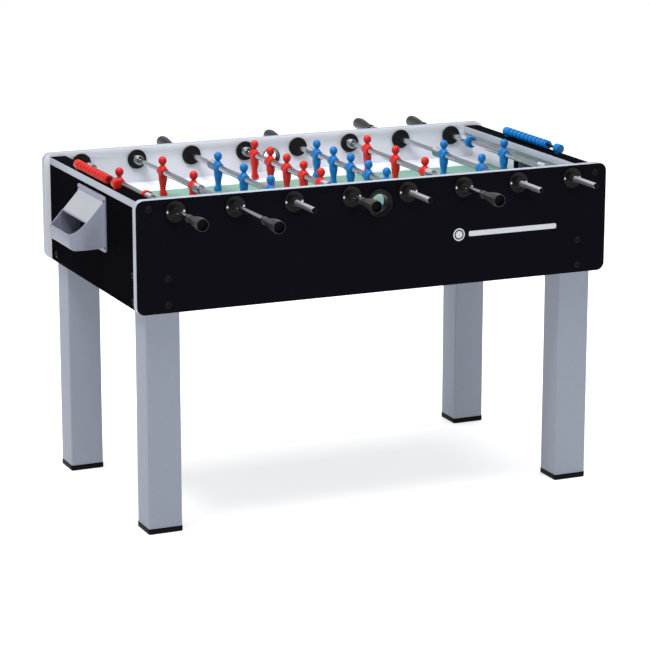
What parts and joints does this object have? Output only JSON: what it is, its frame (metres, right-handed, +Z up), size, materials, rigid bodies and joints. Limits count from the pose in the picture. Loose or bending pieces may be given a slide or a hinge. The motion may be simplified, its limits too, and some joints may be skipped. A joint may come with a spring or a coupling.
{
  "type": "foosball table",
  "caption": "Full-size foosball table: a black box cabinet on four silver legs with sliding, spinning player rods, bead score counters and a ball cup at each end.",
  "frame": {"origin": "on the floor, under the middle of the table", "axes": "+X along the table from the red goal to the blue goal, +Y across it towards the blue team's players, +Z up"},
  "size_m": [1.502, 1.31, 0.9021],
  "materials": {
    "panel_black": "black satin laminate with light grey edge bands and a pale inner face",
    "ledge_black": "black satin laminate",
    "playfield_green": "matte muted green print",
    "ramp_white": "smooth white plastic",
    "leg_silver": "silver-grey powder coat",
    "foot_black": "black moulded plastic",
    "bearing_black": "black moulded nylon",
    "screw_steel": "zinc-plated steel",
    "bolt_black": "black capped bolt",
    "bar_chrome": "polished chromed steel",
    "spring_chrome": "bright spring steel",
    "plug_black": "black plastic",
    "entry_black": "black moulded plastic",
    "cup_grey": "grey plastic with a fine texture",
    "counter_red": "glossy red plastic",
    "counter_blue": "glossy blue plastic",
    "men_red": "glossy red plastic",
    "men_blue": "glossy blue plastic",
    "handle_black": "black moulded grip"
  },
  "bodies": {
    "table": {"near_side_panel": "panel_black", "far_side_panel": "panel_black", "left_end_panel": "panel_black", "right_end_panel": "panel_black", "end_ledges": "ledge_black", "playfield": "playfield_green", "side_ramps": "ramp_white", "bottom_panel": "ledge_black", "left_legs": "leg_silver", "right_legs": "leg_silver", "leg_feet": "foot_black", "outer_bearings": "bearing_black", "inner_bearings": "bearing_black", "fixing_screws": "screw_steel", "cabinet_bolts": "bolt_black", "guide_bars": "bar_chrome", "bar_sleeves": "bar_chrome", "sleeve_plugs": "plug_black", "wall_bumpers": "spring_chrome", "ball_entries": "entry_black", "left_ball_cup": "cup_grey", "right_ball_cup": "cup_grey", "left_score_rail": "counter_red", "right_score_rail": "counter_blue"},
    "left_beads": {"left_score_beads": "counter_red"},
    "right_beads": {"right_score_beads": "counter_blue"},
    "rod_1_carriage": {"rod_1_bumpers": "spring_chrome"},
    "rod_1": {"rod_1_tube": "bar_chrome", "rod_1_men": "men_red", "rod_1_handle": "handle_black", "rod_1_stop_ring": "men_red"},
    "rod_2_carriage": {"rod_2_bumpers": "spring_chrome"},
    "rod_2": {"rod_2_tube": "bar_chrome", "rod_2_men": "men_red", "rod_2_handle": "handle_black"},
    "rod_3_carriage": {"rod_3_bumpers": "spring_chrome"},
    "rod_3": {"rod_3_tube": "bar_chrome", "rod_3_men": "men_blue", "rod_3_handle": "handle_black"},
    "rod_4_carriage": {"rod_4_bumpers": "spring_chrome"},
    "rod_4": {"rod_4_tube": "bar_chrome", "rod_4_men": "men_red", "rod_4_handle": "handle_black"},
    "rod_5_carriage": {"rod_5_bumpers": "spring_chrome"},
    "rod_5": {"rod_5_tube": "bar_chrome", "rod_5_men": "men_blue", "rod_5_handle": "handle_black"},
    "rod_6_carriage": {"rod_6_bumpers": "spring_chrome"},
    "rod_6": {"rod_6_tube": "bar_chrome", "rod_6_men": "men_red", "rod_6_handle": "handle_black"},
    "rod_7_carriage": {"rod_7_bumpers": "spring_chrome"},
    "rod_7": {"rod_7_tube": "bar_chrome", "rod_7_men": "men_blue", "rod_7_handle": "handle_black"},
    "rod_8_carriage": {"rod_8_bumpers": "spring_chrome"},
    "rod_8": {"rod_8_tube": "bar_chrome", "rod_8_men": "men_blue", "rod_8_handle": "handle_black", "rod_8_stop_ring": "men_blue"}
  },
  "joints": [
    {"name": "left_score_slide", "type": "slide", "parent": "table", "child": "left_beads", "axis": [0, 1, 0], "range_m": [-0.046, 0]},
    {"name": "right_score_slide", "type": "slide", "parent": "table", "child": "right_beads", "axis": [0, 1, 0], "range_m": [-0.046, 0]},
    {"name": "rod_1_slide", "type": "slide", "parent": "table", "child": "rod_1_carriage", "axis": [0, 1, 0], "range_m": [-0.1365, 0.0605]},
    {"name": "rod_1_spin", "type": "hinge", "parent": "rod_1_carriage", "child": "rod_1", "pos_m": [-0.567, 0, 0.852], "axis": [0, 1, 0], "range_deg": [-213, 78]},
    {"name": "rod_2_slide", "type": "slide", "parent": "table", "child": "rod_2_carriage", "axis": [0, 1, 0], "range_m": [-0.208, 0.16]},
    {"name": "rod_2_spin", "type": "hinge", "parent": "rod_2_carriage", "child": "rod_2", "pos_m": [-0.405, 0, 0.852], "axis": [0, 1, 0], "continuous": true},
    {"name": "rod_3_slide", "type": "slide", "parent": "table", "child": "rod_3_carriage", "axis": [0, 1, 0], "range_m": [-0.082, 0.146]},
    {"name": "rod_3_spin", "type": "hinge", "parent": "rod_3_carriage", "child": "rod_3", "pos_m": [-0.243, 0, 0.852], "axis": [0, 1, 0], "continuous": true},
    {"name": "rod_4_slide", "type": "slide", "parent": "table", "child": "rod_4_carriage", "axis": [0, 1, 0], "range_m": [-0.113, 0.027]},
    {"name": "rod_4_spin", "type": "hinge", "parent": "rod_4_carriage", "child": "rod_4", "pos_m": [-0.081, 0, 0.852], "axis": [0, 1, 0], "continuous": true},
    {"name": "rod_5_slide", "type": "slide", "parent": "table", "child": "rod_5_carriage", "axis": [0, 1, 0], "range_m": [-0.061, 0.079]},
    {"name": "rod_5_spin", "type": "hinge", "parent": "rod_5_carriage", "child": "rod_5", "pos_m": [0.081, 0, 0.852], "axis": [0, 1, 0], "continuous": true},
    {"name": "rod_6_slide", "type": "slide", "parent": "table", "child": "rod_6_carriage", "axis": [0, 1, 0], "range_m": [-0.15, 0.078]},
    {"name": "rod_6_spin", "type": "hinge", "parent": "rod_6_carriage", "child": "rod_6", "pos_m": [0.243, 0, 0.852], "axis": [0, 1, 0], "continuous": true},
    {"name": "rod_7_slide", "type": "slide", "parent": "table", "child": "rod_7_carriage", "axis": [0, 1, 0], "range_m": [-0.142, 0.226]},
    {"name": "rod_7_spin", "type": "hinge", "parent": "rod_7_carriage", "child": "rod_7", "pos_m": [0.405, 0, 0.852], "axis": [0, 1, 0], "continuous": true},
    {"name": "rod_8_slide", "type": "slide", "parent": "table", "child": "rod_8_carriage", "axis": [0, 1, 0], "range_m": [-0.1145, 0.0825]},
    {"name": "rod_8_spin", "type": "hinge", "parent": "rod_8_carriage", "child": "rod_8", "pos_m": [0.567, 0, 0.852], "axis": [0, 1, 0], "range_deg": [-78, 213]}
  ]
}
